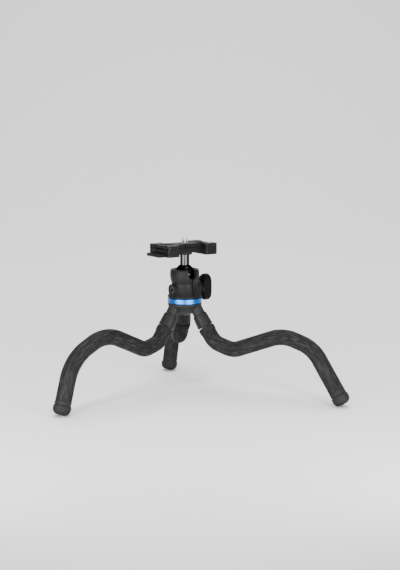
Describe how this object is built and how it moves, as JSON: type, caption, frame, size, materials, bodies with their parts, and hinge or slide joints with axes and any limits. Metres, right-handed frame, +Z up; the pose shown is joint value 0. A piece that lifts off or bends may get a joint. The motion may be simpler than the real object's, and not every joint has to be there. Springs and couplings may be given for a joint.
{
  "type": "flexible leg tripod",
  "caption": "Tabletop tripod with bendable sleeved legs on a round crown, a split-clamp ball head with lock knob, and a fold-flat sliding clamp plate with a camera screw.",
  "frame": {"origin": "on the ground, under the middle of the tripod's footprint", "axes": "+Z up along the head's axis, +X to the right of the picture, +Y away from its viewer"},
  "size_m": [0.2965, 0.24, 0.1628],
  "materials": {
    "sleeve_rubber": "matte, finely streaked",
    "foot_rubber": "matte",
    "collar_plastic": "satin",
    "crown_plastic": "satin",
    "head_paint": "satin",
    "ring_blue": "anodised, brushed round",
    "stem_black": "gloss",
    "knob_plastic": "satin",
    "plate_plastic": "satin",
    "jaw_plastic": "satin",
    "pad_rubber": "matte",
    "steel": "satin",
    "black_steel": "black oxide",
    "core_aluminium": "drawn",
    "insert_brass": "turned",
    "seat_liner": "smooth"
  },
  "bodies": {
    "root": {"leg_crown": "crown_plastic", "centre_screw": "black_steel", "accent_ring": "ring_blue", "head_housing": "head_paint", "clamp_bolt": "black_steel", "thrust_washer": "steel", "left_collar": "collar_plastic", "left_cuff": "sleeve_rubber", "left_core": "core_aluminium", "right_collar": "collar_plastic", "right_cuff": "sleeve_rubber", "right_core": "core_aluminium", "rear_collar": "collar_plastic", "rear_cuff": "sleeve_rubber", "rear_core": "core_aluminium"},
    "seat": {"ball_seat": "seat_liner"},
    "ball": {"ball_stem": "stem_black"},
    "clamp": {"clamp_base": "plate_plastic", "camera_screw": "steel", "spring_plugs": "plate_plastic", "fixed_jaw_pin": "steel"},
    "carriage": {"slide_carriage": "plate_plastic", "guide_rods": "steel", "slide_springs": "steel", "moving_jaw_pin": "steel"},
    "fixed_jaw": {"fixed_jaw": "jaw_plastic", "fixed_grip_pad": "pad_rubber", "fixed_top_pad": "pad_rubber"},
    "moving_jaw": {"moving_jaw": "jaw_plastic", "moving_grip_pad": "pad_rubber", "moving_top_pad": "pad_rubber"},
    "knob": {"lock_knob": "knob_plastic", "knob_insert": "insert_brass"},
    "left_1": {"left_sleeve_1": "sleeve_rubber"},
    "left_2": {"left_sleeve_2": "sleeve_rubber"},
    "left_3": {"left_sleeve_3": "sleeve_rubber"},
    "left_4": {"left_sleeve_4": "sleeve_rubber"},
    "left_5": {"left_sleeve_5": "sleeve_rubber", "left_foot": "foot_rubber"},
    "right_1": {"right_sleeve_1": "sleeve_rubber"},
    "right_2": {"right_sleeve_2": "sleeve_rubber"},
    "right_3": {"right_sleeve_3": "sleeve_rubber"},
    "right_4": {"right_sleeve_4": "sleeve_rubber"},
    "right_5": {"right_sleeve_5": "sleeve_rubber", "right_foot": "foot_rubber"},
    "rear_1": {"rear_sleeve_1": "sleeve_rubber"},
    "rear_2": {"rear_sleeve_2": "sleeve_rubber"},
    "rear_3": {"rear_sleeve_3": "sleeve_rubber"},
    "rear_4": {"rear_sleeve_4": "sleeve_rubber"},
    "rear_5": {"rear_sleeve_5": "sleeve_rubber", "rear_foot": "foot_rubber"}
  },
  "joints": [
    {"name": "head_side_tilt", "type": "hinge", "parent": "root", "child": "seat", "pos_m": [-0.01989, 0.00971, 0.1249], "axis": [0.5736, -0.8192, 0], "range_deg": [-20, 20]},
    {"name": "head_tilt", "type": "hinge", "parent": "seat", "child": "ball", "pos_m": [-0.01989, 0.00971, 0.1249], "axis": [0.8192, 0.5736, 0], "range_deg": [-35, 90]},
    {"name": "head_pan", "type": "hinge", "parent": "ball", "child": "clamp", "pos_m": [-0.01989, 0.00971, 0.1249], "axis": [0, 0, 1], "continuous": true},
    {"name": "lock_knob_turn", "type": "hinge", "parent": "root", "child": "knob", "pos_m": [-0.01989, 0.00971, 0.1081], "axis": [0.8192, 0.5736, 0], "continuous": true},
    {"name": "clamp_slide", "type": "slide", "parent": "clamp", "child": "carriage", "axis": [-0.8192, -0.5736, 0], "range_m": [0, 0.028], "stiffness_N_per_m": 250, "springref_m": -0.01, "deforming": ["slide_springs"]},
    {"name": "fixed_jaw_fold", "type": "hinge", "parent": "clamp", "child": "fixed_jaw", "pos_m": [0.00133, 0.02457, 0.1554], "axis": [-0.5736, 0.8192, 0], "range_deg": [0, 90]},
    {"name": "moving_jaw_fold", "type": "hinge", "parent": "carriage", "child": "moving_jaw", "pos_m": [-0.04479, -0.00773, 0.1554], "axis": [0.5736, -0.8192, 0], "range_deg": [0, 90]},
    {"name": "left_neck_lift", "type": "hinge", "parent": "root", "child": "left_1", "pos_m": [-0.04157, -0.00607, 0.06592], "axis": [-0.7314, 0.682, 0], "range_deg": [-15, 30], "deforming": ["left_core"]},
    {"name": "left_dip_swing", "type": "hinge", "parent": "left_1", "child": "left_2", "pos_m": [-0.05146, -0.01668, 0.05273], "axis": [-0.165, -0.1769, 0.9703], "range_deg": [-40, 40], "deforming": ["left_core"]},
    {"name": "left_rise_bend", "type": "hinge", "parent": "left_2", "child": "left_3", "pos_m": [-0.08095, -0.04831, 0.06223], "axis": [-0.7314, 0.682, 0], "range_deg": [-30, 40], "deforming": ["left_core"]},
    {"name": "left_crest_swing", "type": "hinge", "parent": "left_3", "child": "left_4", "pos_m": [-0.11163, -0.0812, 0.0661], "axis": [-0.2828, -0.3033, 0.91], "range_deg": [-40, 40], "deforming": ["left_core"]},
    {"name": "left_drop_bend", "type": "hinge", "parent": "left_4", "child": "left_5", "pos_m": [-0.13375, -0.10493, 0.03469], "axis": [-0.7314, 0.682, 0], "range_deg": [-35, 35], "deforming": ["left_core"]},
    {"name": "right_neck_lift", "type": "hinge", "parent": "root", "child": "right_1", "pos_m": [0.0041, -0.0019, 0.06606], "axis": [-0.4273, -0.8959, 0.1219], "range_deg": [-15, 30], "deforming": ["right_core"]},
    {"name": "right_dip_swing", "type": "hinge", "parent": "right_1", "child": "right_2", "pos_m": [0.0179, -0.01052, 0.05105], "axis": [0.3104, -0.0187, 0.9504], "range_deg": [-40, 40], "deforming": ["right_core"]},
    {"name": "right_rise_bend", "type": "hinge", "parent": "right_2", "child": "right_3", "pos_m": [0.06315, -0.03101, 0.05906], "axis": [-0.4273, -0.8959, 0.1219], "range_deg": [-30, 40], "deforming": ["right_core"]},
    {"name": "right_crest_swing", "type": "hinge", "parent": "right_3", "child": "right_4", "pos_m": [0.09341, -0.04493, 0.06289], "axis": [0.3251, -0.0265, 0.9453], "range_deg": [-40, 40], "deforming": ["right_core"]},
    {"name": "right_drop_bend", "type": "hinge", "parent": "right_4", "child": "right_5", "pos_m": [0.11825, -0.05915, 0.04543], "axis": [-0.4273, -0.8959, 0.1219], "range_deg": [-35, 35], "deforming": ["right_core"]},
    {"name": "rear_neck_lift", "type": "hinge", "parent": "root", "child": "rear_1", "pos_m": [-0.02275, 0.03565, 0.06542], "axis": [0.9816, 0.1205, -0.1478], "range_deg": [-15, 30], "deforming": ["rear_core"]},
    {"name": "rear_dip_swing", "type": "hinge", "parent": "rear_1", "child": "rear_2", "pos_m": [-0.0273, 0.05276, 0.04914], "axis": [0.1586, -0.0858, 0.9836], "range_deg": [-40, 40], "deforming": ["rear_core"]},
    {"name": "rear_rise_bend", "type": "hinge", "parent": "rear_2", "child": "rear_3", "pos_m": [-0.02695, 0.07621, 0.07062], "axis": [0.9816, 0.1205, -0.1478], "range_deg": [-15, 40], "deforming": ["rear_core"]},
    {"name": "rear_crest_swing", "type": "hinge", "parent": "rear_3", "child": "rear_4", "pos_m": [-0.02625, 0.09329, 0.08915], "axis": [0.1169, 0.2324, 0.9656], "range_deg": [-40, 40], "deforming": ["rear_core"]},
    {"name": "rear_drop_bend", "type": "hinge", "parent": "rear_4", "child": "rear_5", "pos_m": [-0.03102, 0.11143, 0.0723], "axis": [0.9816, 0.1205, -0.1478], "range_deg": [-10, 35], "deforming": ["rear_core"]}
  ]
}
